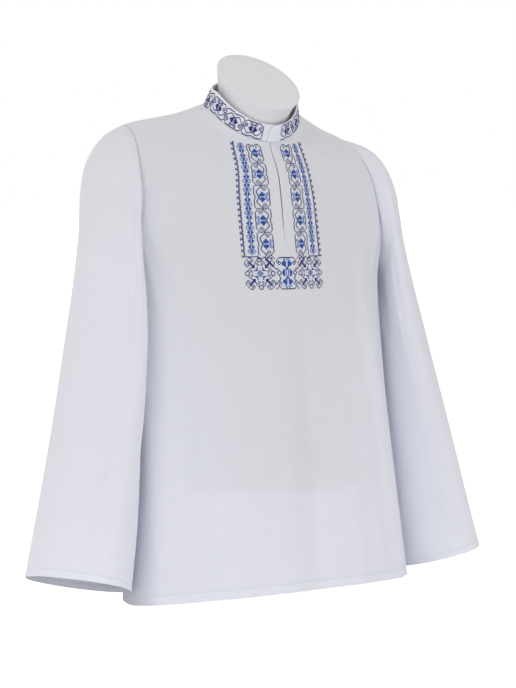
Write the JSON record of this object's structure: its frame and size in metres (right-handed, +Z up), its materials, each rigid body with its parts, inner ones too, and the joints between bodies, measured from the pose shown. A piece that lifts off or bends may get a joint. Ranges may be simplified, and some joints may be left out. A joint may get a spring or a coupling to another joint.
{
  "type": "embroidered folk shirt on dress form",
  "caption": "Loose white folk shirt with open sleeves, band collar, neck slit and cross-stitch panel, worn by a limbless dress form on a low stand.",
  "frame": {"origin": "centre of the stand base's flat underside", "axes": "+Z up, the wearer faces -Y, and the wearer's left is +X"},
  "size_m": [0.7666, 0.3316, 0.841],
  "materials": {
    "cloth": "fine plain-weave white cotton, matte",
    "thread_navy": "dark navy embroidery cotton, slight sheen",
    "thread_blue": "medium blue embroidery cotton, slight sheen",
    "form": "smooth pale grey, satin",
    "stand": "satin pale grey"
  },
  "bodies": {
    "root": {"front": "cloth", "back": "cloth", "sleeve_left": "cloth", "sleeve_right": "cloth", "collar": "cloth", "dress_form": "form", "stand_post": "stand", "stand_base": "stand"}
  },
  "joints": []
}
